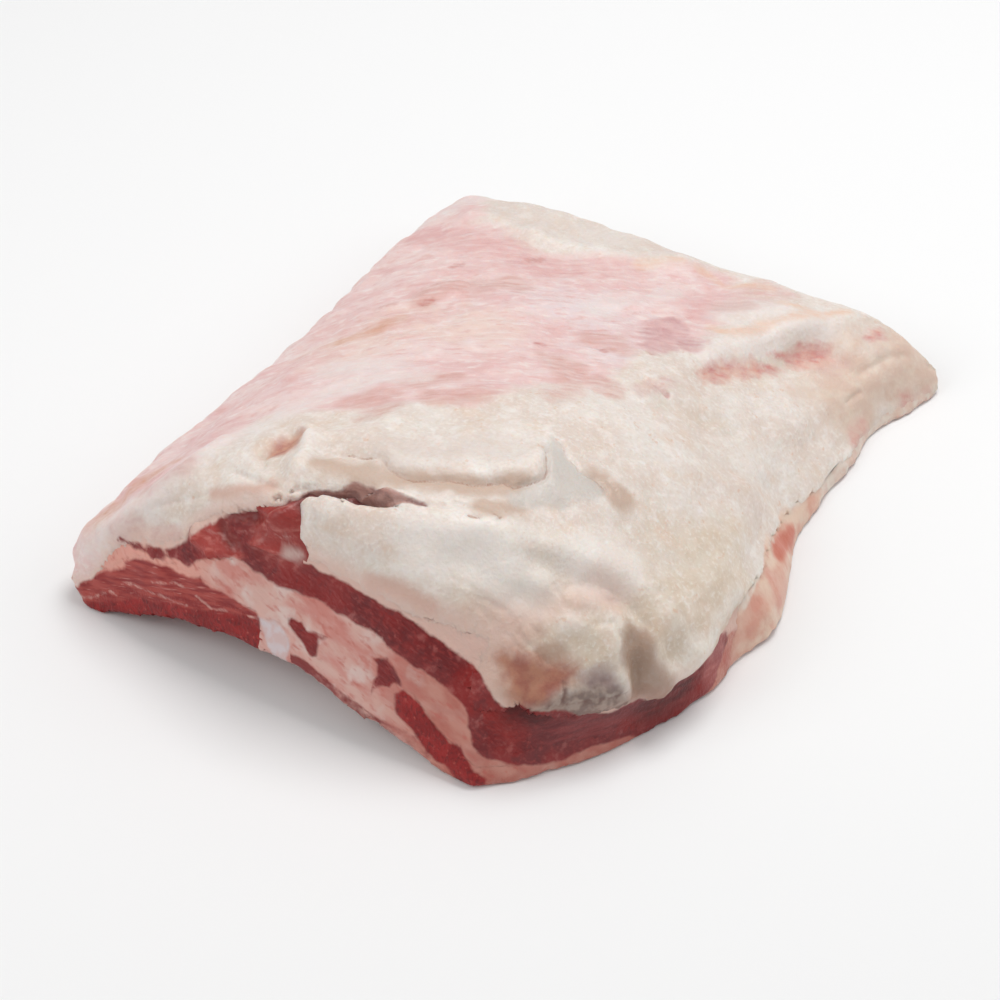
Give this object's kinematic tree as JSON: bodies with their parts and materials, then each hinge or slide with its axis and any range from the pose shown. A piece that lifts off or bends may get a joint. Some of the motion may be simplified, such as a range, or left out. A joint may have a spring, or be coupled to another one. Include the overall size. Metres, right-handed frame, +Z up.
{
  "type": "raw lamb breast",
  "caption": "Raw bone-in lamb breast: a square-cut slab of ribs, lean and fat, fat side up, with its layers and sawn bone showing at one end.",
  "frame": {"origin": "on the table, under the middle of the slab's bounding box", "axes": "+X from the sawn brisket end to the flank end, +Y from the breastbone side to the loin side, +Z up through the fat"},
  "size_m": [0.2824, 0.2252, 0.076],
  "materials": {
    "fat_cover": "moist, soft sheen",
    "lean_band": "moist, glossy",
    "seam_fat": "moist, soft sheen",
    "rib_lean": "moist, glossy",
    "sawn_rib": "sawn, damp",
    "rib_cartilage": "smooth, damp",
    "breast_bone": "sawn, damp",
    "lean_slip_ribs": "moist, glossy",
    "lean_slip_bone": "moist, glossy"
  },
  "bodies": {
    "root": {"fat_cover": "fat_cover", "lean_band": "lean_band", "seam_fat": "seam_fat", "rib_lean": "rib_lean", "sawn_rib": "sawn_rib", "rib_cartilage": "rib_cartilage", "breast_bone": "breast_bone", "lean_slip_ribs": "lean_slip_ribs", "lean_slip_bone": "lean_slip_bone"}
  },
  "joints": []
}
